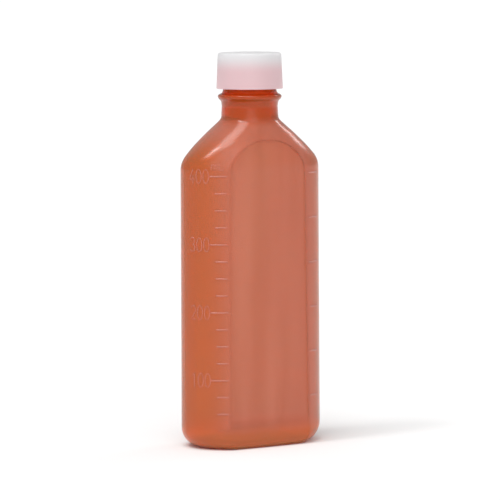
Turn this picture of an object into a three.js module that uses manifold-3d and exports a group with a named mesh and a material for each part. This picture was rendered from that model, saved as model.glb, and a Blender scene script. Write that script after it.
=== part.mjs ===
// A flat oval collecting bottle of 400 mL: a blown translucent bottle with raised scales,
// a smooth screw cap, and the sealing disc that lies inside the cap.
// +Z up, origin at the centre of the foot. X is the wide way; the front panel faces -Y.
// Lengths are in millimetres of a bottle 80 mm wide; SCALE takes the finished model to its real size.
import * as THREE from "three";
import { mergeVertices } from "three/addons/utils/BufferGeometryUtils.js";
import Module from "manifold-3d";

const wasm = await Module();
wasm.setup();

const SCALE = 1.04; // makes one long step of the volume scale hold 100 mL
const DEGREE = Math.PI / 180;
const ROUND_STEPS = 48; // facets round every circle, and steps of a thread's turn

// Body: an ellipse in plan, cut flat at the front and the back, and a little deeper at the foot.
const BODY_HALF_WIDTH = 40;
const OVAL_HALF_DEPTH = 25.6; // of the ellipse, at the foot
const OVAL_TAPER = 0.0155; // loss of half depth for each millimetre of height
const PANEL_HALF_DEPTH = 20.1; // of the flat front and back, at the foot
const PANEL_TAPER = 0.0074;
const WALL = 1.2;
const PANEL_STEPS = 3; // facets across the flat, in one quarter
const SIDE_STEPS = ROUND_STEPS / 4 - PANEL_STEPS; // facets from there to the end of the oval
const LAST_CORNER = 76 * DEGREE; // the edge of the flat goes no nearer the middle than this
const BODY_LEVELS = [16, 60, 102];

// Shoulder: a line at this angle from the vertical that turns into the wall through an arc.
// Its plan is a little squarer than an ellipse, which rounds the top of the flats into an arch.
const SHOULDER_TOP = 172.7;
const SHOULDER_RADIUS = 15.2; // of the neck's root
const END_ARC = 10;
const END_ANGLE = 48.6 * DEGREE;
const FRONT_ARC = 17.7;
const FRONT_ANGLE = 20.3 * DEGREE;
const SHOULDER_LEVELS = [149.5, 151.5, 154, 156.5, 159, 161, 163, 165, 167, 170];
const SQUARENESS = 0.42; // added to the ellipse's power of 2
const SQUARE_RISE = [151, 160.4]; // heights between which it comes in
const SQUARE_FALL = [164, 173.7]; // heights between which it goes again

// Foot and floor: a flat ring to stand on, round a floor that is pushed up. The heel is round
// between the wall and the foot's outline, so it is small at the front and large at the two ends.
const FOOT_OUTLINE = { width: 29, depth: 21.6, flat: 17, power: 2 };
const HEEL_TILTS = [0, 25, 50, 72, 90].map((angle) => angle * DEGREE);
const FOOT_SHARE = 0.9; // size of the foot's inner edge against its outer edge
const RECESS_SHARE = 0.8; // size of the pushed-up floor against the foot's outer edge
const RECESS_HEIGHT = 1.8;
const FLOOR_CENTRE = 2.3;
const FLOOR_THICKNESS = 1.5;

// Neck, transfer bead and finish: radius and height.
const BORE_RADIUS = 12.1;
const FINISH_RADIUS = 13.9;
const LIP_TOP = 203.9;
const NECK_OUTSIDE = [
  [SHOULDER_RADIUS, SHOULDER_TOP],
  [14.7, 181.6],
  [16.5, 183.5],
  [16.9, 184.5],
  [16.4, 185.4],
  [FINISH_RADIUS, 186.6],
  [FINISH_RADIUS, LIP_TOP - 0.6],
  [FINISH_RADIUS - 0.5, LIP_TOP],
];
const NECK_INSIDE = [
  [BORE_RADIUS + 0.5, LIP_TOP],
  [BORE_RADIUS, LIP_TOP - 0.5],
  [BORE_RADIUS, 178],
];

// Label panels: shallow recesses in the two flats, as wide as the flat less a margin.
const RECESS_DEPTH = 0.35;
const PANEL_MARGIN = 0.7;
const PANEL_BOTTOM = 9;
const PANEL_TOP = 162.5;
const ARCH_START = 143;
const ARCH_STEPS = 14;
const LEAST_HALF_WIDTH = 1;

// Scales: raised ribs on the curved corners beside the panels.
// Plan angles run from the near end of the oval towards the panel.
const RIB_HEIGHT = 0.3;
const RIB_WIDTH = 0.7;
const RIB_ROOT = 0.4; // how far a rib goes into the wall
const RIB_STEPS = 3;
const VOLUME_MARKS = 16; // one for each 25 mL, every fourth one long
const VOLUME_FIRST = 10.6; // height of the 25 mL mark
const VOLUME_STEP = 8.9;
const LONG_RIB = [36.5, 51.5];
const SHORT_RIB = [41.5, 51.5];
const BACK_RIB = [31, 51.5];
const SIX_PARTS = { count: 6, first: 25.7, step: 23.7 };
const TWELVE_PARTS = { count: 12, first: 13.85, step: 11.85 };

// Thread: the same right-handed helix on the finish and in the cap.
const PITCH = 4;
const THREAD_ROOT_WIDTH = 2;
const THREAD_CREST_WIDTH = 0.8;
const THREAD_BITE = 0.4; // how far a thread's root goes into its wall
const RUN_OUT = 0.12; // turns over which a thread's ends fade
const RUN_OUT_LEAST = 0.25; // share of the thread's depth that is left at its very end
const FINISH_THREAD = { crest: 15, start: 194.2, turns: 1.75, startAngle: 15 };
const CAP_THREAD_DROP = 1.6; // the cap's thread lies this far below the finish's
const CAP_THREAD = { crest: 14.35, start: 190.6, turns: 2 };

// Cap: a slightly tapered skirt under a lightly domed top.
const CAP_BOTTOM = 188.6;
const CAP_TOP = 207.6;
const CAP_DOME = 0.4;
const CAP_BOTTOM_RADIUS = 17.55;
const CAP_TOP_RADIUS = 16.75;
const CAP_WALL = 1.4;
const CAP_TOP_THICKNESS = 1.6;
const CAP_EDGE_RADIUS = 1.6;
const CAP_EDGE_STEPS = 4;

// Sealing disc, with a gap to the lip below it and to the cap above it.
const GAP = 0.3;
const DISC_RADIUS = 14.95;
const DISC_BOTTOM = LIP_TOP + GAP;
const DISC_TOP = CAP_TOP - CAP_TOP_THICKNESS - GAP;

const ORANGE = new THREE.MeshStandardMaterial({
  color: 0xc55a30,
  roughness: 0.35,
  metalness: 0,
  transparent: true,
  opacity: 0.85,
});
const WHITE = new THREE.MeshStandardMaterial({
  color: 0xf0e8ea,
  roughness: 0.45,
  metalness: 0,
});
const FOAM = new THREE.MeshStandardMaterial({
  color: 0xe9e6df,
  roughness: 0.8,
  metalness: 0,
});

// A closed geometry as a solid that can be joined and cut.
function solidOf(geometry) {
  const bare = geometry.clone();
  bare.deleteAttribute("normal");
  bare.deleteAttribute("uv");
  const merged = mergeVertices(bare, 1e-4);
  return new wasm.Manifold(
    new wasm.Mesh({
      numProp: 3,
      vertProperties: merged.attributes.position.array,
      triVerts: new Uint32Array(merged.index.array),
    }),
  );
}

function geometryOf(solid) {
  const mesh = solid.getMesh();
  const geometry = new THREE.BufferGeometry();
  geometry.setAttribute("position", new THREE.BufferAttribute(mesh.vertProperties, 3));
  geometry.setIndex(new THREE.BufferAttribute(mesh.triVerts, 1));
  geometry.computeVertexNormals();
  return geometry;
}

// Rings of equal length joined in order, with `close` turning the first and the last into faces.
// Each ring runs anticlockwise seen from the side that the rings go towards.
function ringGeometry(rings, close) {
  const count = rings[0].length;
  const points = rings.flat();
  const faces = [];
  for (let i = 0; i + 1 < rings.length; i++) {
    for (let j = 0; j < count; j++) {
      const next = (j + 1) % count;
      const a = i * count + j;
      const b = i * count + next;
      faces.push(a, b, b + count, a, b + count, a + count);
    }
  }
  close(points, faces, count, rings.length);
  const geometry = new THREE.BufferGeometry();
  geometry.setAttribute("position", new THREE.Float32BufferAttribute(points.flat(), 3));
  geometry.setIndex(faces);
  return geometry;
}

// Ends as fans about a centre point, for rings that go out from an axis and come back to it.
function closeAtCentres(first, last) {
  return (points, faces, count, rings) => {
    const firstIndex = points.push(first) - 1;
    const lastIndex = points.push(last) - 1;
    const lastRing = (rings - 1) * count;
    for (let j = 0; j < count; j++) {
      const next = (j + 1) % count;
      faces.push(firstIndex, next, j);
      faces.push(lastIndex, lastRing + j, lastRing + next);
    }
  };
}

// Ends as flat fans from their own first corner, for a bar.
function closeAsBar(points, faces, count, rings) {
  const lastRing = (rings - 1) * count;
  for (let j = 1; j + 1 < count; j++) {
    faces.push(0, j + 1, j);
    faces.push(lastRing, lastRing + j, lastRing + j + 1);
  }
}

function barSolid(rings) {
  return solidOf(ringGeometry(rings, closeAsBar));
}

// One of the shoulder's two curves: where its arc leaves the wall, from where it meets the neck.
function shoulderCurve(full, radius, angle) {
  const lineRun = full - radius * (1 - Math.cos(angle)) - SHOULDER_RADIUS;
  const start = SHOULDER_TOP - radius * Math.sin(angle) - lineRun / Math.tan(angle);
  return { full, radius, angle, start };
}

const END_CURVE = shoulderCurve(BODY_HALF_WIDTH, END_ARC, END_ANGLE);
const FRONT_FULL = OVAL_HALF_DEPTH - OVAL_TAPER * 150;
const FRONT_CURVE = shoulderCurve(FRONT_FULL, FRONT_ARC, FRONT_ANGLE);

// How far the shoulder reaches from the axis at a height, `wall` inside its outer face.
function shoulderReach(curve, z, wall) {
  const radius = curve.radius - wall;
  const rise = z - curve.start;
  const centre = curve.full - curve.radius;
  const bend = radius * Math.sin(curve.angle);
  if (rise <= bend) {
    return centre + Math.sqrt(radius ** 2 - Math.max(rise, 0) ** 2);
  }
  return centre + radius * Math.cos(curve.angle) - (rise - bend) * Math.tan(curve.angle);
}

function smoothStep(value, [low, high]) {
  const share = Math.min(Math.max((value - low) / (high - low), 0), 1);
  return share * share * (3 - 2 * share);
}

function panelHalfDepth(z) {
  return PANEL_HALF_DEPTH - PANEL_TAPER * z;
}

// The plan outline at a height: half width, half depth and power of the oval, half depth of the flats.
function sectionAt(z, wall) {
  const least = wall > 0 ? BORE_RADIUS : 0;
  const straightDepth = OVAL_HALF_DEPTH - OVAL_TAPER * z - wall;
  const front = z > FRONT_CURVE.start ? shoulderReach(FRONT_CURVE, z, wall) : straightDepth;
  return {
    width: Math.max(shoulderReach(END_CURVE, z, wall), least),
    depth: Math.max(front, least),
    flat: panelHalfDepth(z) - wall,
    power: 2 + SQUARENESS * smoothStep(z, SQUARE_RISE) * (1 - smoothStep(z, SQUARE_FALL)),
  };
}

function cornerAngle(section) {
  return Math.asin(Math.min(section.flat / section.depth, 1) ** (section.power / 2));
}

// Angles round an outline, with one on each edge of the flats.
function outlineAngles(section) {
  const corner = Math.min(cornerAngle(section), LAST_CORNER);
  const quarter = [];
  for (let i = 0; i < SIDE_STEPS; i++) {
    quarter.push((corner * i) / SIDE_STEPS);
  }
  for (let i = 0; i < PANEL_STEPS; i++) {
    quarter.push(corner + ((Math.PI / 2 - corner) * i) / PANEL_STEPS);
  }
  const back = quarter.slice(1).map((angle) => Math.PI - angle);
  const half = [...quarter, Math.PI / 2, ...back.reverse()];
  return [...half, ...half.map((angle) => angle + Math.PI)];
}

function signedPower(value, power) {
  return Math.sign(value) * Math.abs(value) ** power;
}

function outlinePoint(section, angle) {
  const x = section.width * signedPower(Math.cos(angle), 2 / section.power);
  const y = section.depth * signedPower(Math.sin(angle), 2 / section.power);
  return [x, Math.min(Math.max(y, -section.flat), section.flat)];
}

// The plan direction that the wall faces at an angle, below the shoulder, where the oval is an ellipse.
// On the edge of a flat it is between the oval's direction and the flat's.
function outlineNormal(section, angle) {
  const oval = new THREE.Vector2(Math.cos(angle) / section.width, Math.sin(angle) / section.depth);
  oval.normalize();
  const over = section.depth * Math.abs(Math.sin(angle)) - section.flat;
  const flat = new THREE.Vector2(0, Math.sign(Math.sin(angle)));
  if (over > 1e-6) return flat;
  if (over > -1e-6) return oval.add(flat).normalize();
  return oval;
}

function wallRing(z, wall) {
  const section = sectionAt(z, wall);
  return outlineAngles(section).map((angle) => [...outlinePoint(section, angle), z]);
}

// A ring round the heel. Tilt 0 is where the heel leaves the wall, 90 degrees is the foot.
function heelRing(tilt, wall, floor) {
  const section = sectionAt(0, wall);
  const inset = 1 - Math.cos(tilt);
  return outlineAngles(section).map((angle) => {
    const [wallX, wallY] = outlinePoint(section, angle);
    const [footX, footY] = outlinePoint(FOOT_OUTLINE, angle);
    const radius = Math.hypot(wallX - footX, wallY - footY);
    const z = floor + radius * (1 - Math.sin(tilt));
    const [x, y] = outlinePoint(sectionAt(z, wall), angle);
    return [x + (footX - wallX) * inset, y + (footY - wallY) * inset, z];
  });
}

function shrunkRing(ring, share, z) {
  return ring.map(([x, y]) => [x * share, y * share, z]);
}

function circleRing(radius, z) {
  const ring = [];
  for (let i = 0; i < ROUND_STEPS; i++) {
    const angle = (i / ROUND_STEPS) * 2 * Math.PI;
    ring.push([radius * Math.cos(angle), radius * Math.sin(angle), z]);
  }
  return ring;
}

// The bottle's whole skin: from the middle of the floor's underside, up the outside,
// over the lip, and down the inside to the middle of the floor.
function bottleShell() {
  const levels = [...BODY_LEVELS, END_CURVE.start, ...SHOULDER_LEVELS];
  const foot = heelRing(Math.PI / 2, 0, 0);
  const floorEdge = heelRing(Math.PI / 2, WALL, FLOOR_THICKNESS);
  const innerTilts = [...HEEL_TILTS].reverse();
  const rings = [
    shrunkRing(foot, RECESS_SHARE, RECESS_HEIGHT),
    shrunkRing(foot, FOOT_SHARE, 0),
    ...innerTilts.map((tilt) => heelRing(tilt, 0, 0)),
    ...levels.map((z) => wallRing(z, 0)),
    ...NECK_OUTSIDE.map(([radius, z]) => circleRing(radius, z)),
    ...NECK_INSIDE.map(([radius, z]) => circleRing(radius, z)),
    wallRing(SHOULDER_TOP, WALL),
    ...[...levels].reverse().map((z) => wallRing(z, WALL)),
    ...HEEL_TILTS.map((tilt) => heelRing(tilt, WALL, FLOOR_THICKNESS)),
    shrunkRing(floorEdge, RECESS_SHARE, FLOOR_THICKNESS + RECESS_HEIGHT),
  ];
  const under = [0, 0, FLOOR_CENTRE];
  const inside = [0, 0, FLOOR_CENTRE + FLOOR_THICKNESS];
  return solidOf(ringGeometry(rings, closeAtCentres(under, inside)));
}

// The block that cuts one label panel. `side` is -1 for the front and 1 for the back.
function panelCutter(side) {
  const heights = [PANEL_BOTTOM];
  for (let i = 0; i <= ARCH_STEPS; i++) {
    const share = Math.sin(((i / ARCH_STEPS) * Math.PI) / 2);
    heights.push(ARCH_START + (PANEL_TOP - ARCH_START) * share);
  }
  const rings = heights.map((z) => {
    const section = sectionAt(z, 0);
    const flatHalf = outlinePoint(section, cornerAngle(section))[0];
    const half = Math.max(flatHalf - PANEL_MARGIN, LEAST_HALF_WIDTH);
    const floor = side * (panelHalfDepth(z) - RECESS_DEPTH);
    const out = floor + side * 2;
    const corners = [
      [-half, floor, z],
      [half, floor, z],
      [half, out, z],
      [-half, out, z],
    ];
    return side > 0 ? corners : corners.reverse();
  });
  return barSolid(rings);
}

// A rib at height z between two plan angles, in the corner given by the signs of x and y.
function scaleRib(z, [from, to], signX, signY) {
  const section = sectionAt(z, 0);
  const rings = [];
  for (let i = 0; i <= RIB_STEPS; i++) {
    const angle = (from + ((to - from) * i) / RIB_STEPS) * DEGREE;
    const [x, y] = outlinePoint(section, angle);
    const normal = outlineNormal(section, angle);
    const corner = (reach, rise) => [
      signX * (x + normal.x * reach),
      signY * (y + normal.y * reach),
      z + rise,
    ];
    rings.push([
      corner(-RIB_ROOT, -RIB_WIDTH / 2),
      corner(-RIB_ROOT, RIB_WIDTH / 2),
      corner(RIB_HEIGHT, RIB_WIDTH / 2),
      corner(RIB_HEIGHT, -RIB_WIDTH / 2),
    ]);
  }
  if (signX * signY < 0) rings.forEach((ring) => ring.reverse());
  return barSolid(rings);
}

function scaleRibs() {
  const ribs = [];
  for (let i = 0; i < VOLUME_MARKS; i++) {
    const span = (i + 1) % 4 === 0 ? LONG_RIB : SHORT_RIB;
    ribs.push(scaleRib(VOLUME_FIRST + VOLUME_STEP * i, span, -1, -1));
  }
  for (let i = 0; i < SIX_PARTS.count; i++) {
    ribs.push(scaleRib(SIX_PARTS.first + SIX_PARTS.step * i, LONG_RIB, 1, -1));
  }
  for (let i = 0; i < TWELVE_PARTS.count; i++) {
    ribs.push(scaleRib(TWELVE_PARTS.first + TWELVE_PARTS.step * i, BACK_RIB, 1, 1));
  }
  return ribs;
}

// A helical thread from its root to its crest radius. Both ends fade away over the run-out.
function threadSolid({ crest, start, turns, startAngle }, root) {
  const count = Math.round(turns * ROUND_STEPS);
  const rings = [];
  for (let i = 0; i <= count; i++) {
    const turn = i / ROUND_STEPS;
    const toEnd = Math.min(turn, turns - turn) / RUN_OUT;
    const share = RUN_OUT_LEAST + (1 - RUN_OUT_LEAST) * Math.min(toEnd, 1);
    const angle = startAngle * DEGREE + turn * 2 * Math.PI;
    const z = start + turn * PITCH;
    const top = root.wall + (crest - root.wall) * share;
    const bottom = root.wall - Math.sign(crest - root.wall) * THREAD_BITE;
    const place = (radius, rise) => [radius * Math.cos(angle), radius * Math.sin(angle), z + rise];
    const ring = [
      place(bottom, -THREAD_ROOT_WIDTH / 2),
      place(bottom, THREAD_ROOT_WIDTH / 2),
      place(top, THREAD_CREST_WIDTH / 2),
      place(top, -THREAD_CREST_WIDTH / 2),
    ];
    rings.push(crest > root.wall ? ring : ring.reverse());
  }
  return barSolid(rings);
}

function bottle() {
  let solid = bottleShell();
  solid = solid.subtract(panelCutter(-1)).subtract(panelCutter(1));
  solid = solid.add(threadSolid(FINISH_THREAD, { wall: FINISH_RADIUS }));
  for (const rib of scaleRibs()) {
    solid = solid.add(rib);
  }
  return geometryOf(solid);
}

function turned(profile) {
  const points = profile.map(([radius, z]) => new THREE.Vector2(radius, z));
  return new THREE.LatheGeometry(points, ROUND_STEPS).rotateX(Math.PI / 2);
}

function capInsideRadius(z) {
  const share = (z - CAP_BOTTOM) / (CAP_TOP - CAP_BOTTOM);
  return CAP_BOTTOM_RADIUS + (CAP_TOP_RADIUS - CAP_BOTTOM_RADIUS) * share - CAP_WALL;
}

function screwCap() {
  const ceiling = CAP_TOP - CAP_TOP_THICKNESS;
  const edge = [];
  for (let i = 0; i <= CAP_EDGE_STEPS; i++) {
    const angle = ((i / CAP_EDGE_STEPS) * Math.PI) / 2;
    edge.push([
      CAP_TOP_RADIUS - CAP_EDGE_RADIUS * (1 - Math.cos(angle)),
      CAP_TOP - CAP_EDGE_RADIUS * (1 - Math.sin(angle)),
    ]);
  }
  const shell = turned([
    [0, ceiling],
    [capInsideRadius(ceiling), ceiling],
    [capInsideRadius(CAP_BOTTOM), CAP_BOTTOM],
    [CAP_BOTTOM_RADIUS, CAP_BOTTOM],
    ...edge,
    [CAP_TOP_RADIUS * 0.55, CAP_TOP + CAP_DOME * 0.7],
    [0, CAP_TOP + CAP_DOME],
  ]);
  // The same helix as the finish's, moved down: the angle follows from the height where it starts.
  const turnsDown = (FINISH_THREAD.start - CAP_THREAD_DROP - CAP_THREAD.start) / PITCH;
  const startAngle = FINISH_THREAD.startAngle - turnsDown * 360;
  const middle = (CAP_THREAD.start * 2 + CAP_THREAD.turns * PITCH) / 2;
  const thread = threadSolid({ ...CAP_THREAD, startAngle }, { wall: capInsideRadius(middle) });
  return geometryOf(solidOf(shell).add(thread));
}

function sealingDisc() {
  return turned([
    [0, DISC_BOTTOM],
    [DISC_RADIUS, DISC_BOTTOM],
    [DISC_RADIUS, DISC_TOP],
    [0, DISC_TOP],
  ]);
}

function piece(name, geometry, material) {
  const mesh = new THREE.Mesh(geometry, material);
  mesh.name = name;
  return mesh;
}

const model = new THREE.Group();
model.scale.setScalar(SCALE);
model.add(piece("bottle", bottle(), ORANGE));
model.add(piece("screw_cap", screwCap(), WHITE));
model.add(piece("sealing_disc", sealingDisc(), FOAM));

export default model;
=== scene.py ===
"""A flat oval collecting bottle: a blown translucent bottle, its screw cap and the sealing disc.

Shapes are drawn in the frame's own axes, for a bottle 80 units wide, and scaled to metres at the end.
"""

import math

import bmesh
import bpy
import numpy as np
from mathutils import Matrix, Quaternion, Vector


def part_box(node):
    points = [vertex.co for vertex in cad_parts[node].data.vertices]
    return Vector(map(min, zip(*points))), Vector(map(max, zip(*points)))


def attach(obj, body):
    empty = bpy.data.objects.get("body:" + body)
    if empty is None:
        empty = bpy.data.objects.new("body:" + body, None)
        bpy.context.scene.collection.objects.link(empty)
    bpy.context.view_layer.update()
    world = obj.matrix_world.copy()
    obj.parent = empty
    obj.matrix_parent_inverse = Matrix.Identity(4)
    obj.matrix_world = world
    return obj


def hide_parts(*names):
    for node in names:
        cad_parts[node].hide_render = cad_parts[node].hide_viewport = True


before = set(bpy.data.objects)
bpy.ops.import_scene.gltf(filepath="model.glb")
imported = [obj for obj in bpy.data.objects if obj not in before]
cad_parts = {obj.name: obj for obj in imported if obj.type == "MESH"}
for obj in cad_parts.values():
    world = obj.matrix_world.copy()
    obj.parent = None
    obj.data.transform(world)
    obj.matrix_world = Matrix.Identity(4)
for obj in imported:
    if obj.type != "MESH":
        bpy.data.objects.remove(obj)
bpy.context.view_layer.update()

DRAWN_HALF_WIDTH = 40.0
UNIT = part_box("bottle")[1][0] / DRAWN_HALF_WIDTH  # metres in one unit of the drawing
TURN = 2 * math.pi


def drawn_box(node):
    """Lowest and highest corner of a CAD node, in units of the drawing."""
    low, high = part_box(node)
    return np.array(low) / UNIT, np.array(high) / UNIT


BOTTLE_HIGH = drawn_box("bottle")[1]
CAP_LOW, CAP_HIGH = drawn_box("screw_cap")
DISC_LOW, DISC_HIGH = drawn_box("sealing_disc")

# Body: an ellipse in plan with a flat front and back, a little deeper at the foot.
SEAM_HEIGHT = 0.06
BODY_HALF_WIDTH = DRAWN_HALF_WIDTH - SEAM_HEIGHT
OVAL_HALF_DEPTH = 25.6
OVAL_TAPER = 0.0155
PANEL_HALF_DEPTH = 20.1
PANEL_TAPER = 0.0074
WALL = 1.2
WALL_WAVE = 0.09
# Waves of the wall's thickness: change for each unit of x, y and z, and phase.
WAVE_AROUND = (0.11, 0.0, 0.05, 0.7)
WAVE_UPWARDS = (0.0, 0.13, 0.083, 0.0)
WAVE_SLANTED = (0.23, 0.19, -0.037, 2.1)
SLANTED_SHARE = 0.6
CORNER_SOFTNESS = 0.35
CORNER_REACH = math.radians(1.5)
LAST_CORNER = math.radians(76)
SEAM_ANGLES = np.radians([0.0, 0.35, 0.8])
SEAM_PROFILE = [1.0, 0.55, 0.0]
SIDE_STEPS = 26
CORNER_STEPS = 6
FLAT_STEPS = 12

# Shoulder: a line at an angle from the vertical that turns into the wall through an arc.
# Its plan is a little squarer than an ellipse.
SHOULDER_TOP = 172.7
SHOULDER_RADIUS = 15.2
END_ARC = 10
END_ANGLE = math.radians(48.6)
FRONT_ARC = 17.7
FRONT_ANGLE = math.radians(20.3)
FRONT_LEVEL = 150  # height at which the front's shoulder takes its depth from the tapered wall
SQUARENESS = 0.42
SQUARE_RISE = (151, 160.4)
SQUARE_FALL = (164, 173.7)
NECK_SOFTNESS = 1.0
SHOULDER_STEP = 1.1
JUNCTION_REACH = 1.5
JUNCTION_STEP = 0.3
NECK_START = 180.0

# Heel, foot and floor. The heel is round between the wall and the foot's outline.
FOOT_OUTLINE = {"width": 29, "depth": 21.6, "flat": 17, "power": 2}
HEEL_TOP = 12
HEEL_STEPS = 12
UNDER_PROFILE = [(0.05, 2.3), (0.3, 2.25), (0.6, 2.0), (0.76, 1.85), (0.8, 1.65),
                 (0.83, 1.2), (0.86, 0.6), (0.88, 0.2), (0.9, 0.0), (0.93, 0.0)]
FLOOR_THICKNESS = 1.5
WALL_STEP = 6.0

# Neck, transfer bead and finish.
NECK_TOP = 181.6
NECK_TOP_RADIUS = 14.7
BORE_RADIUS = 12.1
FINISH_RADIUS = 13.9
LIP_TOP = BOTTLE_HIGH[2]
NECK_OUTSIDE = [
    (SHOULDER_RADIUS, SHOULDER_TOP),
    (NECK_TOP_RADIUS, NECK_TOP),
    (16.5, 183.3),
    (16.97, 184.45),
    (16.5, 185.5),
    (FINISH_RADIUS, 186.6),
    (FINISH_RADIUS, 195.0),
    (FINISH_RADIUS, LIP_TOP - 0.6),
    (FINISH_RADIUS - 0.3, LIP_TOP),
]
NECK_INSIDE = [
    (BORE_RADIUS + 0.3, LIP_TOP),
    (BORE_RADIUS, LIP_TOP - 0.5),
    (BORE_RADIUS, 195.0),
    (BORE_RADIUS, 180.0),
]
CORNER_CUTS = 2
CUT_SHARE = 0.25
NECK_GAP = 0.3  # least height between the last ring of the shoulder and the first of the neck

# Label panels: shallow recesses in the two flats.
RECESS_DEPTH = 0.6
PANEL_MARGIN = 0.7
PANEL_BOTTOM = 9.0
PANEL_FADE_END = 17.0
PANEL_FADE_STEPS = 8
PANEL_TOP = 162.5
PANEL_STEPS = 40
PANEL_ARCH_STEPS = 26
# Across the recess's edge: (offset inwards, share of the depth), from outside the wall, over a fine
# groove, to the panel's face.
PANEL_PROFILE = [(-1.0, -3.0), (0.0, 0.0), (0.05, 0.12), (0.13, 0.5), (0.21, 0.9), (0.3, 1.1),
                 (0.42, 1.16), (0.58, 1.1), (0.8, 1.0)]
ARCH_START = 143
ARCH_TIP = 0.6  # half width of the flat at the arch's top
CUTTER_LEAST = 0.05  # least half width of the cutter
FADED_LIFT = 0.06  # how far the faded foot of the cutter stays off the wall

# Scales: raised marks on the curved corners beside the panels.
MARK_HEIGHT = 0.45
MARK_HALF_WIDTH = 0.42
MARK_ROOT = 0.3
MARK_SIDES = 12
MARK_POINTS = 9
MARK_ENDS = [(0.05, 0.3), (0.4, 0.8)]  # a stroke's rounded end: (share of the half width, size)
PLAN_NUDGE = 0.01  # radians to each side, to find the way the wall faces
VOLUME_MARKS = 16
LONG_EVERY = 4
MARK_VOLUME = 25
VOLUME_FIRST = 10.6
VOLUME_STEP = 8.9
LONG_MARK = (36.5, 51.5)
SHORT_MARK = (41.5, 51.5)
BACK_MARK = (31, 51.5)
SIX_PARTS = {"count": 6, "first": 25.7, "step": 23.7}
TWELVE_PARTS = {"count": 12, "first": 13.85, "step": 11.85}
NUMBER = {"end_angle": 35.0, "width": 2.9, "height": 7.2, "gap": 1.0}
UNIT_SIGN = {"end_angle": 50.0, "width": 3.0, "height": 4.6, "gap": 1.0}
UNIT_SIGN_RISE = 3.4
WRITING_SPAN = (0, 60)
WRITING_SAMPLES = 400
STROKE_STEP = 0.35
LETTER_STROKE = 0.27
LETTER_HEIGHT = 0.27

# Painted highlight stored on the mesh: marks are lightened by how far they stand out, and the panel's step
# is lightened as one line.
RELIEF_HIGHLIGHT = "relief_highlight"
RELIEF_REACH = 0.2
STEP_HIGHLIGHT = 0.6
STEP_TOP = 0.04  # depth under the flat where the step's line starts
STEP_BOTTOM = 0.5

# Thread.
PITCH = 4
THREAD_STEPS = 72
THREAD_BITE = 0.4
RUN_OUT = 0.12  # turns over which a thread's ends fade
RUN_OUT_LEAST = 0.25
FINISH_THREAD = {"crest": 15.0, "start": 194.2, "turns": 1.75}
THREAD_ANGLE = math.radians(15)
CAP_THREAD_DROP = 1.6
CAP_THREAD = {"crest": 14.35, "start": 190.6, "turns": 2.0}
THREAD_HALF_WIDTH = 1.0
# Across the thread: (height from its middle, share of its depth).
THREAD_PROFILE = [(-THREAD_HALF_WIDTH, 0.0), (-0.7, 0.55), (-0.4, 0.93), (0.0, 1.0),
                  (0.4, 0.93), (0.7, 0.55), (THREAD_HALF_WIDTH, 0.0)]

# Cap.
CAP_BOTTOM = CAP_LOW[2]
CAP_DOME = 0.4
CAP_TOP = CAP_HIGH[2] - CAP_DOME
CAP_BOTTOM_RADIUS = CAP_HIGH[0]
CAP_TOP_RADIUS = 16.75
CAP_WALL = 1.4
CAP_TOP_THICKNESS = 1.6
CAP_EDGE_RADIUS = 1.6
CAP_EDGE_STEPS = 10
CAP_RIM_RADIUS = 0.35
CAP_RIM_STEPS = 4
CAP_CEILING_MIDDLE = 6  # radius of the ring inside the ceiling
CAP_CEILING_CORNER = 0.3
CAP_MOUTH_BEVEL = (0.25, 0.5)  # outwards, up
CAP_INSIDE_RINGS = 8
CAP_OUTSIDE_RINGS = 10
CAP_INSIDE_DROP = 1.0  # first inner ring below the ceiling
CAP_OUTSIDE_ENDS = (1.0, 0.6)  # first ring above the bottom, last ring below the rounded edge
CAP_DOME_SHARES = (0.93, 0.8, 0.62, 0.45, 0.28, 0.12)
ROUND_STEPS = 144

# Sealing disc.
DISC_BEVEL = (0.25, 0.2)  # inwards, up
DISC_MIDDLE = 0.5  # share of the radius

SHARP_ANGLE = math.radians(33)  # edges sharper than this aren't smoothed

# Materials. A noise is its scale, detail and stretch, and a bump its strength and distance in metres.
# Tints cover spans in units of the drawing.
COLOUR_SPAN = (0.35, 0.65)  # of a noise, from the first colour to the second
VALUE_SPAN = (0.3, 0.7)  # of a noise, from the low value to the high one

BOTTLE_PLASTIC = {"IOR": 1.46, "Transmission Weight": 0.74, "Specular IOR Level": 0.3}
BOTTLE_STREAKS = (85, 2, (1, 1, 0.08))
BOTTLE_COLOURS = ((0.81, 0.37, 0.22), (0.87, 0.43, 0.28))
BOTTLE_GLOSS_NOISE = (60, 2, (1, 1, 1))
BOTTLE_ROUGHNESS = (0.19, 0.24)
BOTTLE_BUMP_NOISE = (60, 1, (1, 1, 0.3))
BOTTLE_BUMP = (0.02, 0.0003)
BOTTLE_VOLUME_COLOUR = (0.98, 0.55, 0.1, 1)
BOTTLE_VOLUME_DENSITY = 900
# Painted shade: the colour turns a deeper, darker orange towards the curved ends.
END_SHADE_SPAN = (20, 36)
END_SHADE_TINT = (0.82, 0.3, 0.08)
NECK_SPAN = (168, 175)
NECK_TINT = (0.87, 0.2, 0.02)
# Partly the thick base's own deeper red, partly painted light: the foot is made brighter, as if lit by
# light gathered in the thick plastic.
BASE_COLOUR_AND_GLOW_SPAN = (14, 6)
BASE_COLOUR_AND_GLOW_TINT = (1.0, 0.36, 0.1)
# Painted highlight: the raised marks, the writing and the step round the panels are tinted lighter and
# pinker.
RELIEF_HIGHLIGHT_TINT = (1.0, 0.6, 0.46)

CAP_PLASTIC = {"IOR": 1.5, "Transmission Weight": 0.36}
CAP_CLOUDS = (40, 2, (1, 1, 1))
CAP_COLOURS = ((0.98, 0.97, 0.98), (1.0, 0.99, 1.0))
CAP_GLOSS_NOISE = (90, 2, (1, 1, 1))
CAP_ROUGHNESS = (0.36, 0.46)
CAP_BUMP_NOISE = (700, 2, (1, 1, 1))
CAP_BUMP = (0.1, 0.0003)
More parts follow.
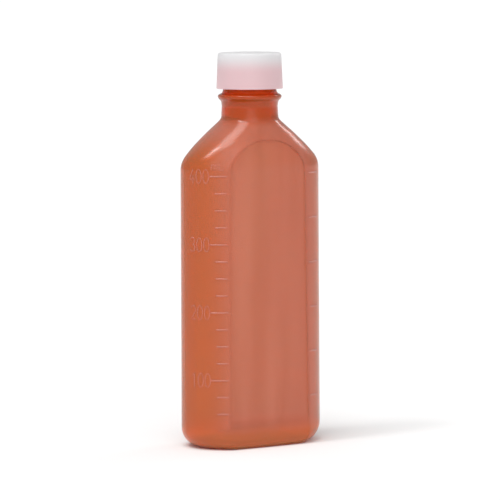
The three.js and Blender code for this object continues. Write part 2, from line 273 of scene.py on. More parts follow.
# Painted light: the skirt is tinted pink to stand in for the orange neck's light showing through the white
# cap.
SKIRT_NECK_GLOW_SPAN = (206, 197)
SKIRT_NECK_GLOW_TINT = (0.97, 0.7, 0.73)

FOAM = {"IOR": 1.45}
FOAM_CLOUDS = (300, 2, (1, 1, 1))
FOAM_COLOURS = ((0.78, 0.76, 0.71), (0.84, 0.82, 0.77))
FOAM_ROUGHNESS = (0.75, 0.9)
FOAM_BUMP_NOISE = (2600, 3, (1, 1, 1))
FOAM_BUMP = (0.5, 0.0004)

# Floor, light and camera: places in metres, lens and sensor in millimetres.
FLOOR_RADIUS = 40.0
FLOOR_SIDES = 64
FLOOR_FINISH = {"Base Color": (0.96, 0.96, 0.96, 1), "Roughness": 0.9, "Specular IOR Level": 0.0}
CAMERA_PLACE = (-0.8228, -1.4229, 0.2675)
CAMERA_TARGET = (-0.00018, 0.0001, 0.10708)
CAMERA_ROLL = math.radians(-0.26)
CAMERA_LENS = 215.65
SENSOR_WIDTH = 36
WORLD_STRENGTH = 0.54
# Suns: name, azimuth, elevation and width in degrees, strength.
SUNS = [
    ("light_shoulder", -60, 70, 32, 1.1),
    ("light_left", -87, 60, 10, 0.45),
    ("light_right", 100, 25, 15, 0.3),
    ("light_front", -25, 25, 50, 0.6),
]


def soft_min(a, b, softness):
    overlap = np.maximum(softness - np.abs(a - b), 0) / softness
    return np.minimum(a, b) - overlap**2 * softness / 4


def soft_max(a, b, softness):
    return -soft_min(-a, -b, softness)


def smooth_step(value, low, high):
    share = np.clip((value - low) / (high - low), 0, 1)
    return share * share * (3 - 2 * share)


def new_object(name, points, faces):
    mesh = bpy.data.meshes.new(name)
    mesh.from_pydata([tuple(p) for p in points], [], faces)
    bm = bmesh.new()
    bm.from_mesh(mesh)
    bmesh.ops.recalc_face_normals(bm, faces=bm.faces)
    if bm.calc_volume(signed=True) < 0:
        bmesh.ops.reverse_faces(bm, faces=bm.faces)
    bm.to_mesh(mesh)
    bm.free()
    piece = bpy.data.objects.new(name, mesh)
    bpy.context.scene.collection.objects.link(piece)
    return piece


def ring_faces(rings, count, start=0):
    faces = []
    for i in range(rings - 1):
        for j in range(count):
            k = (j + 1) % count
            a = start + i * count + j
            b = start + i * count + k
            faces.append((a, b, b + count, a + count))
    return faces


def closed_object(name, rings, first, last):
    """One closed body from rings of equal length, closed at each end by a fan to a centre point."""
    rings = np.array(rings, float)
    rows, count = rings.shape[:2]
    points = list(rings.reshape(-1, 3))
    faces = ring_faces(rows, count)
    for centre, start in ((first, 0), (last, (rows - 1) * count)):
        points.append(centre)
        tip = len(points) - 1
        faces += [(start + j, start + (j + 1) % count, tip) for j in range(count)]
    return new_object(name, points, faces)


def merged_object(name, parts):
    """Several (rings) bodies that don't touch, as one object."""
    points, faces = [], []
    for rings in parts:
        rings = np.array(rings, float)
        rows, count = rings.shape[:2]
        start = len(points)
        points += list(rings.reshape(-1, 3))
        faces += ring_faces(rows, count, start)
        faces.append(tuple(range(start, start + count)))
        last = start + (rows - 1) * count
        faces.append(tuple(range(last, last + count)))
    return new_object(name, points, faces)


def combine(piece, other, operation):
    modifier = piece.modifiers.new(operation, "BOOLEAN")
    modifier.operation = operation
    modifier.solver = "MANIFOLD"
    modifier.object = other
    bpy.context.view_layer.update()
    graph = bpy.context.evaluated_depsgraph_get()
    old = piece.data
    new = bpy.data.meshes.new_from_object(piece.evaluated_get(graph))
    piece.modifiers.clear()
    if len(new.polygons) < len(old.polygons) // 2:
        raise RuntimeError(f"{operation} of {other.name} lost the mesh of {piece.name}")
    piece.data = new
    bpy.data.meshes.remove(old)
    bpy.data.objects.remove(other)


# --- The body's outline -------------------------------------------------------------------


def shoulder_curve(full, radius, angle):
    """A shoulder's arc and line, and where the arc leaves the wall."""
    line_run = full - radius * (1 - math.cos(angle)) - SHOULDER_RADIUS
    start = SHOULDER_TOP - radius * math.sin(angle) - line_run / math.tan(angle)
    return {"full": full, "radius": radius, "angle": angle, "start": start}


END_CURVE = shoulder_curve(BODY_HALF_WIDTH, END_ARC, END_ANGLE)
FRONT_CURVE = shoulder_curve(OVAL_HALF_DEPTH - OVAL_TAPER * FRONT_LEVEL, FRONT_ARC, FRONT_ANGLE)


def shoulder_reach(curve, z, wall):
    """How far the shoulder reaches from the axis at a height, a wall's thickness inside its face."""
    radius = curve["radius"] - wall
    rise = z - curve["start"]
    centre = curve["full"] - curve["radius"]
    bend = radius * math.sin(curve["angle"])
    if rise <= bend:
        return centre + math.sqrt(radius**2 - max(rise, 0) ** 2)
    edge = centre + radius * math.cos(curve["angle"])
    return edge - (rise - bend) * math.tan(curve["angle"])


def neck_radius(z, wall):
    if wall > 0:
        return BORE_RADIUS
    return np.interp(z, [SHOULDER_TOP, NECK_TOP], [SHOULDER_RADIUS, NECK_TOP_RADIUS])


def section_at(z, wall):
    """Half width, half depth and power of the oval, and half depth of the flats, at one height."""
    neck = neck_radius(z, wall)
    straight = OVAL_HALF_DEPTH - OVAL_TAPER * z - wall
    front = shoulder_reach(FRONT_CURVE, z, wall) if z > FRONT_CURVE["start"] else straight
    return {
        "width": float(soft_max(shoulder_reach(END_CURVE, z, wall), neck, NECK_SOFTNESS)),
        "depth": float(soft_max(front, neck, NECK_SOFTNESS)),
        "flat": PANEL_HALF_DEPTH - PANEL_TAPER * z - wall,
        "power": 2 + SQUARENESS * smooth_step(z, *SQUARE_RISE) * (1 - smooth_step(z, *SQUARE_FALL)),
    }


def corner_angle(section):
    return math.asin(min(section["flat"] / section["depth"], 1) ** (section["power"] / 2))


def outline_angles(section):
    corner = min(corner_angle(section), LAST_CORNER)
    start, end = corner - CORNER_REACH, corner + CORNER_REACH
    quarter = np.concatenate([
        SEAM_ANGLES[:-1],
        np.linspace(SEAM_ANGLES[-1], start, SIDE_STEPS, endpoint=False),
        np.linspace(start, end, CORNER_STEPS, endpoint=False),
        np.linspace(end, math.pi / 2, FLAT_STEPS, endpoint=False),
    ])
    half = np.concatenate([quarter, [math.pi / 2], math.pi - quarter[:0:-1]])
    return np.concatenate([half, half + math.pi])


def signed_power(value, power):
    return np.sign(value) * np.abs(value) ** power


def outline(section, angles):
    x = section["width"] * signed_power(np.cos(angles), 2 / section["power"])
    y = section["depth"] * signed_power(np.sin(angles), 2 / section["power"])
    clipped = soft_min(np.abs(y), section["flat"], CORNER_SOFTNESS)
    return np.column_stack([x, np.sign(y) * clipped])


def outline_normals(points):
    along = np.roll(points, -1, axis=0) - np.roll(points, 1, axis=0)
    normals = np.column_stack([along[:, 1], -along[:, 0]])
    return normals / np.linalg.norm(normals, axis=1, keepdims=True)


def seam_rise(count):
    rise = np.zeros(count)
    for side in (0, count // 2):
        for i, share in enumerate(SEAM_PROFILE):
            rise[(side + i) % count] = share
            rise[(side - i) % count] = share
    return rise * SEAM_HEIGHT


def wave(points, z, rates):
    return np.sin(points[:, 0] * rates[0] + points[:, 1] * rates[1] + z * rates[2] + rates[3])


def wall_wave(points, z):
    """A slow change in the wall's thickness, as blowing leaves it."""
    slow = wave(points, z, WAVE_AROUND) * wave(points, z, WAVE_UPWARDS)
    return WALL_WAVE * (slow + SLANTED_SHARE * wave(points, z, WAVE_SLANTED))


def wall_ring(z, wall):
    """A ring of the body at one height, on its outer face or a wall's thickness inside it."""
    section = section_at(z, wall)
    points = outline(section, outline_angles(section))
    normals = outline_normals(points)
    if wall > 0:
        points = points - normals * wall_wave(points, z)[:, None]
    else:
        points = points + normals * seam_rise(len(points))[:, None]
    return np.column_stack([points, np.full(len(points), z)])


def heel_ring(tilt, wall, floor):
    """A ring round the heel. Tilt 0 is where the heel leaves the wall, a quarter turn is the foot."""
    section = section_at(0, wall)
    angles = outline_angles(section)
    base = outline(section, angles)
    foot = outline(FOOT_OUTLINE, angles)
    radius = np.linalg.norm(base - foot, axis=1)
    z = floor + radius * (1 - math.sin(tilt))
    points = np.array([outline(section_at(h, wall), angles[i:i + 1])[0] for i, h in enumerate(z)])
    points = points + (foot - base) * (1 - math.cos(tilt))
    if wall == 0:
        points = points + outline_normals(base) * (seam_rise(len(base)) * math.cos(tilt))[:, None]
    return np.column_stack([points, z])


def shrunk_ring(ring, share, z):
    return np.column_stack([ring[:, :2] * share, np.full(len(ring), z)])


def circle_ring(radius, z, angles):
    return np.column_stack([radius * np.cos(angles), radius * np.sin(angles), np.full(len(angles), z)])


def cut_corners(profile, times):
    """The profile with its corners rounded, ends kept."""
    points = np.array(profile, float)
    for _ in range(times):
        near = points[:-1] * (1 - CUT_SHARE) + points[1:] * CUT_SHARE
        far = points[:-1] * CUT_SHARE + points[1:] * (1 - CUT_SHARE)
        middle = np.stack([near, far], axis=1).reshape(-1, 2)
        points = np.concatenate([points[:1], middle, points[-1:]])
    return points


# --- The bottle ---------------------------------------------------------------------------


def bottle_rings():
    """From the middle of the base, up the outside, down the inside and to the middle of the floor."""
    tilts = np.linspace(0, math.pi / 2, HEEL_STEPS)
    junction = (SHOULDER_TOP - JUNCTION_REACH, SHOULDER_TOP + JUNCTION_REACH)
    first_curve = min(END_CURVE["start"], FRONT_CURVE["start"])
    levels = [
        *np.arange(HEEL_TOP + WALL_STEP, first_curve, WALL_STEP),
        *np.arange(first_curve, junction[0], SHOULDER_STEP),
        *np.arange(*junction, JUNCTION_STEP),
        *np.arange(junction[1], NECK_START, SHOULDER_STEP),
    ]
    foot = heel_ring(math.pi / 2, 0, 0)
    rings = [shrunk_ring(foot, share, z) for share, z in UNDER_PROFILE]
    rings += [heel_ring(tilt, 0, 0) for tilt in tilts[::-1]]
    rings += [wall_ring(z, 0) for z in levels]
    top = section_at(levels[-1], 0)
    angles = outline_angles(top)
    for profile in (NECK_OUTSIDE, NECK_INSIDE):
        neck = [p for p in cut_corners(profile, CORNER_CUTS) if p[1] > levels[-1] + NECK_GAP]
        rings += [circle_ring(r, z, angles) for r, z in neck]
    rings += [wall_ring(z, WALL) for z in levels[::-1]]
    floor_edge = heel_ring(math.pi / 2, WALL, FLOOR_THICKNESS)
    rings += [heel_ring(tilt, WALL, FLOOR_THICKNESS) for tilt in tilts]
    rings += [shrunk_ring(floor_edge, share, z + FLOOR_THICKNESS) for share, z in UNDER_PROFILE[::-1]]
    return rings


def panel_half_width(z):
    section = section_at(z, 0)
    corner = outline(section, np.array([corner_angle(section)]))[0]
    return corner[0] - PANEL_MARGIN


def panel_outline():
    """The right half of the panel's edge, from the bottom up: x, z."""
    fade = np.linspace(PANEL_BOTTOM, PANEL_FADE_END, PANEL_FADE_STEPS, endpoint=False)
    straight = np.linspace(PANEL_FADE_END, ARCH_START, PANEL_STEPS, endpoint=False)
    turn = np.linspace(0, math.pi / 2, PANEL_ARCH_STEPS)
    arch = ARCH_START + (PANEL_TOP - ARCH_START) * np.sin(turn)
    heights = np.concatenate([fade, straight, arch])
    half = [max(panel_half_width(z), 0.0) for z in heights]
    half[-1] = ARCH_TIP
    return np.column_stack([half, heights])


def panel_cutter(side):
    """The body to cut from the front (side -1) or the back (side 1)."""
    right = panel_outline()
    along = np.gradient(right, axis=0)
    along[-1] = (-1, 0)
    inward = np.column_stack([-along[:, 1], along[:, 0]])
    inward /= np.linalg.norm(inward, axis=1, keepdims=True)
    inward[0] = (-1, 0)
    rings = []
    for offset, share in PANEL_PROFILE:
        x = np.maximum(right[:, 0] + inward[:, 0] * offset, CUTTER_LEAST)
        z = right[:, 1] + inward[:, 1] * offset
        depth = RECESS_DEPTH * share
        if share > 0:
            faded = smooth_step(right[:, 1], PANEL_BOTTOM, PANEL_FADE_END)
            depth = depth * faded - FADED_LIFT * (1 - faded)
        y = PANEL_HALF_DEPTH - PANEL_TAPER * z - depth
        half = np.column_stack([x, side * y, z])
        other = half[::-1] * np.array([-1, 1, 1])
        rings.append(np.concatenate([half, other]))
    rings = np.array(rings)
    rows, count = rings.shape[:2]
    points = rings.reshape(-1, 3)
    faces = ring_faces(rows, count)
    for start in (0, (rows - 1) * count):
        for i in range(count // 2 - 1):
            faces.append((start + i, start + count - 1 - i, start + count - 2 - i, start + i + 1))
    return new_object(f"panel_cutter_{side}", points, faces)


def sweep(points, normals, half_width, height, root):
    """A rounded raised stroke along points on the wall: rings across it, tapered at both ends."""
    points, normals = np.array(points, float), np.array(normals, float)
    along = np.gradient(points, axis=0)
    along /= np.linalg.norm(along, axis=1, keepdims=True)
    first, last = points[0], points[-1]
    start = [(first - along[0] * half_width * (1 - s), c) for s, c in MARK_ENDS]
    end = [(last + along[-1] * half_width * (1 - s), c) for s, c in MARK_ENDS[::-1]]
    stations = [(p, along[0], normals[0], c) for p, c in start]
    stations += [(p, a, n, 1.0) for p, a, n in zip(points, along, normals)]
    stations += [(p, along[-1], normals[-1], c) for p, c in end]
    rings = []
    for p, a, n, size in stations:
        across = np.cross(n, a)
        across /= np.linalg.norm(across)
        ring = []
        for k in range(MARK_SIDES):
            angle = TURN * k / MARK_SIDES
            rise = math.sin(angle) * (height if math.sin(angle) > 0 else root)
            ring.append(p + across * half_width * size * math.cos(angle) + n * rise * size)
        rings.append(ring)
    return rings


def wall_points(plan_angles, heights, sign_x, sign_y):
    """Points on the outer wall and the directions that it faces there."""
    points, normals = [], []
    for angle, z in zip(plan_angles, heights):
        section = section_at(z, 0)
        near = outline(section, np.array([angle - PLAN_NUDGE, angle, angle + PLAN_NUDGE]))
        along = near[2] - near[0]
        normal = np.array([along[1], -along[0], 0])
        normal /= np.linalg.norm(normal)
        flip = np.array([sign_x, sign_y, 1])
        points.append(np.array([near[1][0], near[1][1], z]) * flip)
        normals.append(normal * flip)
    return points, normals


def scale_mark(z, span, sign_x, sign_y):
    angles = np.radians(np.linspace(*span, MARK_POINTS))
    points, normals = wall_points(angles, np.full(len(angles), z), sign_x, sign_y)
    return sweep(points, normals, MARK_HALF_WIDTH, MARK_HEIGHT, MARK_ROOT)


def scale_marks():
    marks = []
    for i in range(VOLUME_MARKS):
        span = LONG_MARK if (i + 1) % LONG_EVERY == 0 else SHORT_MARK
        marks.append(scale_mark(VOLUME_FIRST + VOLUME_STEP * i, span, -1, -1))
    for parts, span, sign_y in ((SIX_PARTS, LONG_MARK, -1), (TWELVE_PARTS, BACK_MARK, 1)):
        for i in range(parts["count"]):
            marks.append(scale_mark(parts["first"] + parts["step"] * i, span, 1, sign_y))
    return merged_object("scale_marks", marks)


def arc(cx, cy, rx, ry, start, end, steps=12):
    angles = np.radians(np.linspace(start, end, steps))
    return [(cx + rx * math.cos(a), cy + ry * math.sin(a)) for a in angles]


# Strokes of each sign on a field 1 wide and 1 high.
GLYPHS = {
    "0": [arc(0.5, 0.5, 0.5, 0.5, 60, 60 + 352, 28)],
    "1": [[(0.2, 0.8), (0.55, 1.0), (0.55, 0.0)]],
    "2": [arc(0.5, 0.72, 0.48, 0.28, 160, -35, 12) + [(0.02, 0.0), (1.0, 0.0)]],
    "3": [arc(0.45, 0.75, 0.45, 0.25, 150, -80, 12), arc(0.45, 0.26, 0.52, 0.26, 70, -150, 14)],
    "4": [[(0.7, 1.0), (0.0, 0.3), (1.05, 0.3)], [(0.72, 0.62), (0.72, 0.0)]],
    "m": [[(0.0, 0.0), (0.0, 0.62)], arc(0.27, 0.38, 0.25, 0.2, 165, 0, 8) + [(0.52, 0.0)],
          arc(0.77, 0.38, 0.23, 0.2, 150, 0, 8) + [(1.0, 0.0)]],
    "L": [[(0.05, 1.0), (0.05, 0.0), (0.9, 0.0)]],
}


def refined(path, step):
    """The path with a point at about every step along it."""
    points = [np.array(path[0], float)]
    for a, b in zip(path[:-1], path[1:]):
        a, b = np.array(a, float), np.array(b, float)
        count = max(1, int(round(np.linalg.norm(b - a) / step)))
        points += [a + (b - a) * k / count for k in range(1, count + 1)]
    return np.array(points)


def writing(text, bottom, style, sign_x, sign_y):
    """Strokes of a short text on the wall. It ends at a plan angle, and reads from outside."""
    width, height, gap = style["width"], style["height"], style["gap"]
    section = section_at(bottom, 0)
    angles = np.radians(np.linspace(*WRITING_SPAN, WRITING_SAMPLES))
    curve = outline(section, angles)
    length = np.concatenate([[0], np.cumsum(np.linalg.norm(np.diff(curve, axis=0), axis=1))])
    total = len(text) * width + (len(text) - 1) * gap
    first = np.interp(math.radians(style["end_angle"]), angles, length) - total
    strokes = []
    for i, sign in enumerate(text):
        for layer, path in enumerate(GLYPHS[sign]):
            scaled = [(x * width, y * height) for x, y in path]
            flat = refined(scaled, STROKE_STEP)
            along = first + i * (width + gap) + flat[:, 0]
            plan = np.interp(along, length, angles)
            points, normals = wall_points(plan, bottom + flat[:, 1], sign_x, sign_y)
            strokes.append((layer, sweep(points, normals, LETTER_STROKE, LETTER_HEIGHT, MARK_ROOT)))
    return strokes


def scale_writing():
    strokes = []
    for i in range(LONG_EVERY - 1, VOLUME_MARKS, LONG_EVERY):
        text = str((i + 1) * MARK_VOLUME)
        bottom = VOLUME_FIRST + VOLUME_STEP * i - NUMBER["height"] / 2
        strokes += writing(text, bottom, NUMBER, -1, -1)
    top = VOLUME_FIRST + VOLUME_STEP * (VOLUME_MARKS - 1)
    strokes += writing("mL", top + UNIT_SIGN_RISE, UNIT_SIGN, -1, -1)
    return strokes


def thread_rings(thread, root, start_angle):
    """A thread on a cylinder or cone of the given root radius, outwards or inwards to its crest."""
    count = round(thread["turns"] * THREAD_STEPS)
    out = math.copysign(1, thread["crest"] - root)
    rings = []
    for i in range(count + 1):
        turn = i / THREAD_STEPS
        to_end = min(turn, thread["turns"] - turn) / RUN_OUT
        share = RUN_OUT_LEAST + (1 - RUN_OUT_LEAST) * min(to_end, 1)
        angle = start_angle + turn * TURN
        z = thread["start"] + turn * PITCH
        ring = [(root - out * THREAD_BITE, -THREAD_HALF_WIDTH)]
        ring += [(root + (thread["crest"] - root) * share * depth, rise) for rise, depth in THREAD_PROFILE]
        ring.append((root - out * THREAD_BITE, THREAD_HALF_WIDTH))
        rings.append([(r * math.cos(angle), r * math.sin(angle), z + rise) for r, rise in ring])
    return rings


def store_relief_highlight(piece):
    """Stores on each point how much painted highlight it gets: whether it stands out from the wall or lies
    on the step round a panel.
    """
    relief_highlight = np.zeros(len(piece.data.vertices))
    for i, vertex in enumerate(piece.data.vertices):
        x, y, z = vertex.co
        if not HEEL_TOP < z < NECK_START:
            continue
        section = section_at(z, 0)
        across, along = x / section["width"], y / section["depth"]
        reach = math.hypot(across, along)
        slope = math.hypot(across / section["width"], along / section["depth"]) / reach
        standing = (reach - 1) / slope
        sunk = section["flat"] - abs(y)
        if z < SQUARE_RISE[0] and standing > SEAM_HEIGHT:
            relief_highlight[i] = min((standing - SEAM_HEIGHT) / RELIEF_REACH, 1)
        elif z > PANEL_FADE_END and standing < -RELIEF_REACH and STEP_TOP < sunk < STEP_BOTTOM:
            relief_highlight[i] = STEP_HIGHLIGHT
    attribute = piece.data.attributes.new(RELIEF_HIGHLIGHT, "FLOAT", "POINT")
    attribute.data.foreach_set("value", relief_highlight)


def make_bottle():
    middle = UNDER_PROFILE[0][1]
    piece = closed_object("bottle_blown", bottle_rings(), (0, 0, middle), (0, 0, middle + FLOOR_THICKNESS))
    for side in (-1, 1):
        combine(piece, panel_cutter(side), "DIFFERENCE")
    thread = merged_object("thread", [thread_rings(FINISH_THREAD, FINISH_RADIUS, THREAD_ANGLE)])
    combine(piece, thread, "UNION")
    combine(piece, scale_marks(), "UNION")
    strokes = scale_writing()
    for layer in sorted({layer for layer, _ in strokes}):
        group = [rings for at, rings in strokes if at == layer]
        combine(piece, merged_object(f"writing_{layer}", group), "UNION")
    store_relief_highlight(piece)
    return piece


# --- The cap and the disc -----------------------------------------------------------------


def turned(name, profile):
    """A body turned from a profile of (radius, height), which starts and ends on the axis."""
    angles = np.arange(ROUND_STEPS) * TURN / ROUND_STEPS
    rings = [circle_ring(r, z, angles) for r, z in profile[1:-1]]
    return closed_object(name, rings, (0, 0, profile[0][1]), (0, 0, profile[-1][1]))


def cap_outside_radius(z):
    taper = (CAP_TOP_RADIUS - CAP_BOTTOM_RADIUS) * (z - CAP_BOTTOM) / (CAP_TOP - CAP_BOTTOM)
    return CAP_BOTTOM_RADIUS + taper


def make_cap():
    ceiling = CAP_TOP - CAP_TOP_THICKNESS
    inside = cap_outside_radius(ceiling) - CAP_WALL
    bevel_out, bevel_up = CAP_MOUTH_BEVEL
    profile = [(0, ceiling), (CAP_CEILING_MIDDLE, ceiling), (inside - CAP_CEILING_CORNER, ceiling),
               (inside, ceiling - CAP_CEILING_CORNER)]
    for z in np.linspace(ceiling - CAP_INSIDE_DROP, CAP_BOTTOM + bevel_up, CAP_INSIDE_RINGS):
        profile.append((cap_outside_radius(z) - CAP_WALL, z))
    profile.append((cap_outside_radius(CAP_BOTTOM) - CAP_WALL + bevel_out, CAP_BOTTOM))
    for k in range(CAP_RIM_STEPS + 1):
        angle = math.pi / 2 * k / CAP_RIM_STEPS
        profile.append((CAP_BOTTOM_RADIUS - CAP_RIM_RADIUS * (1 - math.sin(angle)),
                        CAP_BOTTOM + CAP_RIM_RADIUS * (1 - math.cos(angle))))
    edge_start = CAP_TOP - CAP_EDGE_RADIUS
    first, last = CAP_BOTTOM + CAP_OUTSIDE_ENDS[0], edge_start - CAP_OUTSIDE_ENDS[1]
    for z in np.linspace(first, last, CAP_OUTSIDE_RINGS):
        profile.append((cap_outside_radius(z), z))
    edge_centre = cap_outside_radius(edge_start) - CAP_EDGE_RADIUS
    for k in range(CAP_EDGE_STEPS + 1):
        angle = math.pi / 2 * k / CAP_EDGE_STEPS
        profile.append((edge_centre + CAP_EDGE_RADIUS * math.cos(angle),
                        edge_start + CAP_EDGE_RADIUS * math.sin(angle)))
    for share in CAP_DOME_SHARES:
        profile.append((edge_centre * share, CAP_TOP + CAP_DOME * (1 - share**2)))
    profile.append((0, CAP_TOP + CAP_DOME))
    piece = turned("cap_moulded", profile)
    turns_down = (FINISH_THREAD["start"] - CAP_THREAD_DROP - CAP_THREAD["start"]) / PITCH
    middle = CAP_THREAD["start"] + CAP_THREAD["turns"] * PITCH / 2
    root = cap_outside_radius(middle) - CAP_WALL
    rings = thread_rings(CAP_THREAD, root, THREAD_ANGLE - turns_down * TURN)
    combine(piece, merged_object("cap_thread", [rings]), "UNION")
    return piece


def make_disc():
    low, high, radius = DISC_LOW[2], DISC_HIGH[2], DISC_HIGH[0]
    bevel_in, bevel_up = DISC_BEVEL
    middle, edge = radius * DISC_MIDDLE, radius - bevel_in
    profile = [(0, low), (middle, low), (edge, low), (radius, low + bevel_up),
               (radius, high - bevel_up), (edge, high), (middle, high), (0, high)]
    return turned("disc_foam_liner", profile)


# --- Materials ----------------------------------------------------------------------------


def principled(name, values):
    material = bpy.data.materials.new(name)
    material.use_nodes = True
    shader = material.node_tree.nodes["Principled BSDF"]
    for socket, value in values.items():
        shader.inputs[socket].default_value = value
    return material, shader


def noise(tree, scale, detail, stretch):
    place = tree.nodes.new("ShaderNodeTexCoord")
    mapping = tree.nodes.new("ShaderNodeMapping")
    mapping.inputs["Scale"].default_value = stretch
    texture = tree.nodes.new("ShaderNodeTexNoise")
    texture.inputs["Scale"].default_value = scale
    texture.inputs["Detail"].default_value = detail
    tree.links.new(place.outputs["Object"], mapping.inputs["Vector"])
    tree.links.new(mapping.outputs["Vector"], texture.inputs["Vector"])
    return texture.outputs["Fac"]


def colour_ramp(tree, factor, low, high):
    ramp = tree.nodes.new("ShaderNodeValToRGB")
    for stop, position, colour in zip(ramp.color_ramp.elements, COLOUR_SPAN, (low, high)):
        stop.position = position
        stop.color = (*colour, 1)
    tree.links.new(factor, ramp.inputs["Fac"])
    return ramp.outputs["Color"]


def place_parts(tree):
    """The three coordinates of a point on the piece, in metres."""
    place = tree.nodes.new("ShaderNodeTexCoord")
    parts = tree.nodes.new("ShaderNodeSeparateXYZ")
    tree.links.new(place.outputs["Object"], parts.inputs["Vector"])
    return parts.outputs


def stored(tree, name):
    attribute = tree.nodes.new("ShaderNodeAttribute")
    attribute.attribute_name = name
    return attribute.outputs["Fac"]


def size_of(tree, value):
    absolute = tree.nodes.new("ShaderNodeMath")
    absolute.operation = "ABSOLUTE"
    tree.links.new(value, absolute.inputs[0])
    return absolute.outputs["Value"]


def tint_between(tree, colour, value, span, tint):
    """Turns the colour into the tint as the value goes along the span, in units of the drawing."""
    start, end = span
    share = tree.nodes.new("ShaderNodeMapRange")
    share.interpolation_type = "SMOOTHSTEP"
    if start > end:
        share.inputs["To Min"].default_value = 1
        share.inputs["To Max"].default_value = 0
        start, end = end, start
    share.inputs["From Min"].default_value = start * UNIT
    share.inputs["From Max"].default_value = end * UNIT
    mix = tree.nodes.new("ShaderNodeMix")
    mix.data_type = "RGBA"
    first, second = [socket for socket in mix.inputs if socket.type == "RGBA"]
    second.default_value = (*tint, 1)
    tree.links.new(value, share.inputs["Value"])
    tree.links.new(share.outputs["Result"], mix.inputs[0])
    tree.links.new(colour, first)
    return [socket for socket in mix.outputs if socket.type == "RGBA"][0]


def vary_roughness(tree, shader, factor, low, high):
    spread = tree.nodes.new("ShaderNodeMapRange")
    spread.inputs["From Min"].default_value, spread.inputs["From Max"].default_value = VALUE_SPAN
    spread.inputs["To Min"].default_value = low
    spread.inputs["To Max"].default_value = high
    tree.links.new(factor, spread.inputs["Value"])
    tree.links.new(spread.outputs["Result"], shader.inputs["Roughness"])


def add_bump(tree, shader, height, strength, distance):
    bump = tree.nodes.new("ShaderNodeBump")
    bump.inputs["Strength"].default_value = strength
    bump.inputs["Distance"].default_value = distance
    tree.links.new(height, bump.inputs["Height"])
    tree.links.new(bump.outputs["Normal"], shader.inputs["Normal"])


def bottle_material():
    material, shader = principled("orange_translucent_plastic", BOTTLE_PLASTIC)
    tree = material.node_tree
    x, _, z = place_parts(tree)
    colour = colour_ramp(tree, noise(tree, *BOTTLE_STREAKS), *BOTTLE_COLOURS)
    # painted shade towards the curved ends
    colour = tint_between(tree, colour, size_of(tree, x), END_SHADE_SPAN, END_SHADE_TINT)
    colour = tint_between(tree, colour, z, NECK_SPAN, NECK_TINT)
    # the thick base's deeper red, partly painted light
    colour = tint_between(tree, colour, z, BASE_COLOUR_AND_GLOW_SPAN, BASE_COLOUR_AND_GLOW_TINT)
    # painted highlight on the raised marks and the panel's step
    colour = tint_between(tree, colour, stored(tree, RELIEF_HIGHLIGHT), (0, 1 / UNIT), RELIEF_HIGHLIGHT_TINT)
    tree.links.new(colour, shader.inputs["Base Color"])
    vary_roughness(tree, shader, noise(tree, *BOTTLE_GLOSS_NOISE), *BOTTLE_ROUGHNESS)
    add_bump(tree, shader, noise(tree, *BOTTLE_BUMP_NOISE), *BOTTLE_BUMP)
    volume = tree.nodes.new("ShaderNodeVolumeAbsorption")
    volume.inputs["Color"].default_value = BOTTLE_VOLUME_COLOUR
    volume.inputs["Density"].default_value = BOTTLE_VOLUME_DENSITY
    tree.links.new(volume.outputs["Volume"], tree.nodes["Material Output"].inputs["Volume"])
    return material


def cap_material():
    material, shader = principled("white_translucent_plastic", CAP_PLASTIC)
    tree = material.node_tree
    colour = colour_ramp(tree, noise(tree, *CAP_CLOUDS), *CAP_COLOURS)
    # painted pink glow of the neck through the skirt
    colour = tint_between(tree, colour, place_parts(tree)[2], SKIRT_NECK_GLOW_SPAN, SKIRT_NECK_GLOW_TINT)
    tree.links.new(colour, shader.inputs["Base Color"])
    vary_roughness(tree, shader, noise(tree, *CAP_GLOSS_NOISE), *CAP_ROUGHNESS)
    add_bump(tree, shader, noise(tree, *CAP_BUMP_NOISE), *CAP_BUMP)
    return material


def foam_material():
    material, shader = principled("foam_liner", FOAM)
    tree = material.node_tree
    clouds = noise(tree, *FOAM_CLOUDS)
    tree.links.new(colour_ramp(tree, clouds, *FOAM_COLOURS), shader.inputs["Base Color"])
    vary_roughness(tree, shader, clouds, *FOAM_ROUGHNESS)
    add_bump(tree, shader, noise(tree, *FOAM_BUMP_NOISE), *FOAM_BUMP)
    return material


def finish_piece(piece, material, body, node):
    """Scales a piece to metres, smooths it except at its sharp edges, and ties it to the frame."""
    bm = bmesh.new()
    bm.from_mesh(piece.data)
    bmesh.ops.transform(bm, matrix=Matrix.Scale(UNIT, 4), verts=bm.verts)
    for face in bm.faces:
        face.smooth = True
        face.material_index = 0
    for edge in bm.edges:
        edge.smooth = edge.calc_face_angle(0) < SHARP_ANGLE
    bm.to_mesh(piece.data)
    bm.free()
    piece.data.name = piece.name
    piece.data.materials.clear()
    piece.data.materials.append(material)
    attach(piece, body)
    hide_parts(node)


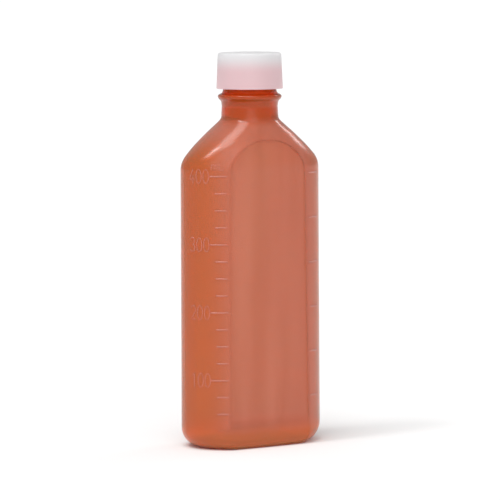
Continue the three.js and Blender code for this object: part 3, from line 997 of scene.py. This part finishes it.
finish_piece(make_bottle(), bottle_material(), "bottle", "bottle")
finish_piece(make_cap(), cap_material(), "cap", "screw_cap")
finish_piece(make_disc(), foam_material(), "disc", "sealing_disc")


# --- Floor, light and camera --------------------------------------------------------------


def make_floor():
    angles = np.arange(FLOOR_SIDES) * TURN / FLOOR_SIDES
    points = [(FLOOR_RADIUS * math.cos(a), FLOOR_RADIUS * math.sin(a), 0) for a in angles]
    mesh = bpy.data.meshes.new("floor")
    mesh.from_pydata(points, [], [tuple(range(FLOOR_SIDES))])
    floor = bpy.data.objects.new("floor", mesh)
    bpy.context.scene.collection.objects.link(floor)
    material, _ = principled("pale_floor", FLOOR_FINISH)
    mesh.materials.append(material)


def soft_sun(name, azimuth, elevation, width, strength):
    """An even light from one side. Azimuth 0 is the front, and 90 the right."""
    data = bpy.data.lights.new(name, "SUN")
    data.angle, data.energy = math.radians(width), strength
    light = bpy.data.objects.new(name, data)
    across, up = math.radians(azimuth), math.radians(elevation)
    source = Vector((math.sin(across) * math.cos(up), -math.cos(across) * math.cos(up), math.sin(up)))
    light.rotation_euler = source.to_track_quat("Z", "Y").to_euler()
    bpy.context.scene.collection.objects.link(light)


def make_world():
    world = bpy.data.worlds.new("studio")
    world.use_nodes = True
    background = world.node_tree.nodes["Background"]
    background.inputs["Color"].default_value = (1, 1, 1, 1)
    background.inputs["Strength"].default_value = WORLD_STRENGTH
    bpy.context.scene.world = world


def make_camera():
    data = bpy.data.cameras.new("camera")
    data.lens = CAMERA_LENS
    data.sensor_width = SENSOR_WIDTH
    camera = bpy.data.objects.new("camera", data)
    camera.location = CAMERA_PLACE
    aim = (Vector(CAMERA_TARGET) - Vector(CAMERA_PLACE)).to_track_quat("-Z", "Y")
    camera.rotation_euler = (aim @ Quaternion((0, 0, 1), CAMERA_ROLL)).to_euler()
    bpy.context.scene.collection.objects.link(camera)
    bpy.context.scene.camera = camera


make_floor()
make_world()
make_camera()
for sun in SUNS:
    soft_sun(*sun)
bpy.context.scene.view_settings.view_transform = "Standard"
